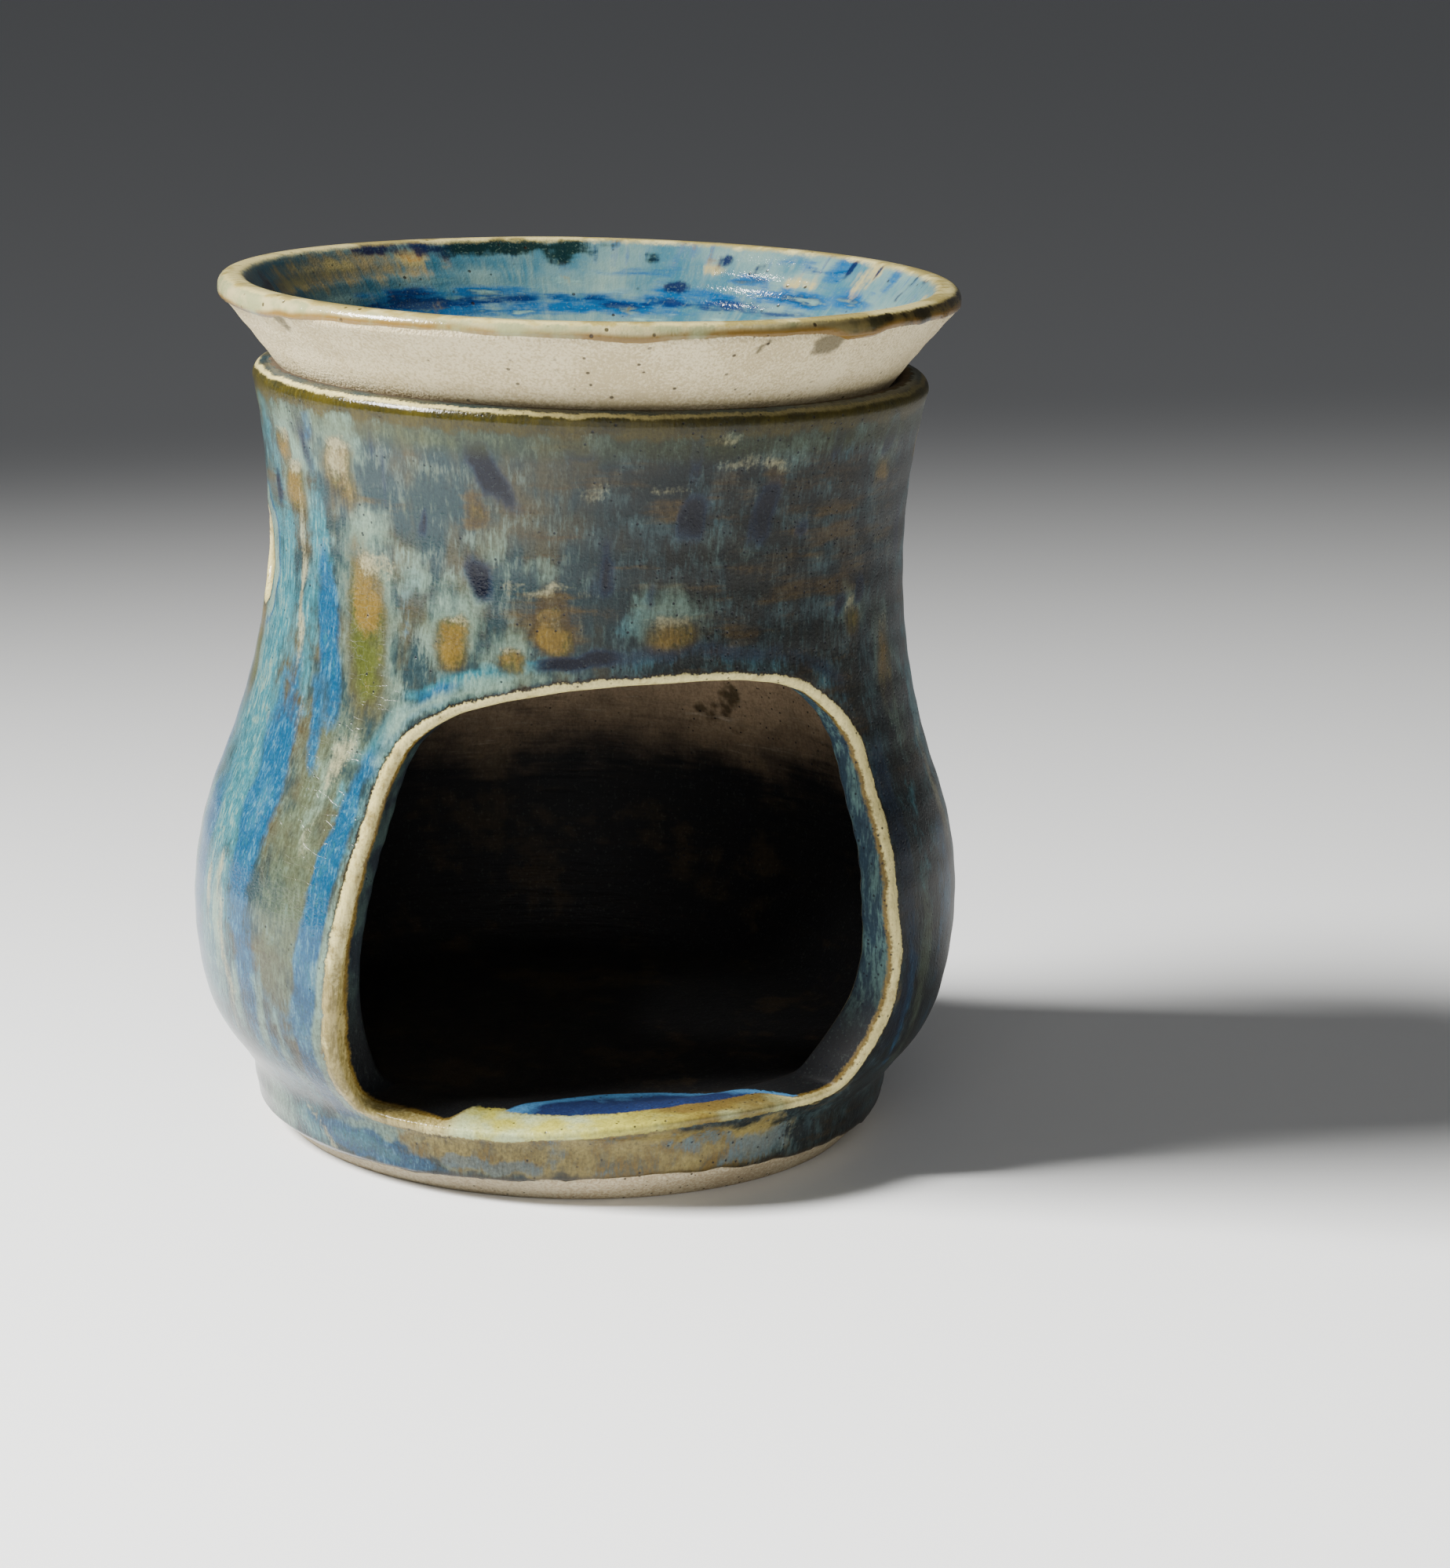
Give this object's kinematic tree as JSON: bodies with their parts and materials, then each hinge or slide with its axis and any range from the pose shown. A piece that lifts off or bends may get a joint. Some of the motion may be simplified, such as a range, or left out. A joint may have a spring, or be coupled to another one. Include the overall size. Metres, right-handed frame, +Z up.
{
  "type": "essential oil burner",
  "caption": "Thrown stoneware pot with a hand-cut door for a tealight and small vents in its neck, under a loose shallow dish that warms scented oil.",
  "frame": {"origin": "on the pot's axis, where its flat foot stands on the table", "axes": "+Z up along the pot's axis, -Y out through the door, +X to the right when the door is looked at"},
  "size_m": [0.1, 0.0972, 0.1109],
  "materials": {
    "pot_stoneware": "glossy running glaze in blue, teal and ochre, bare clay at the foot",
    "dish_stoneware": "glossy blue glaze in the bowl and over the edge, bare clay outside"
  },
  "bodies": {
    "pot": {"burner_body": "pot_stoneware"},
    "dish": {"oil_dish": "dish_stoneware"}
  },
  "joints": [
    {"name": "dish_lift", "type": "slide", "parent": "pot", "child": "dish", "axis": [0, 0, 1], "range_m": [0, 0.06]}
  ]
}
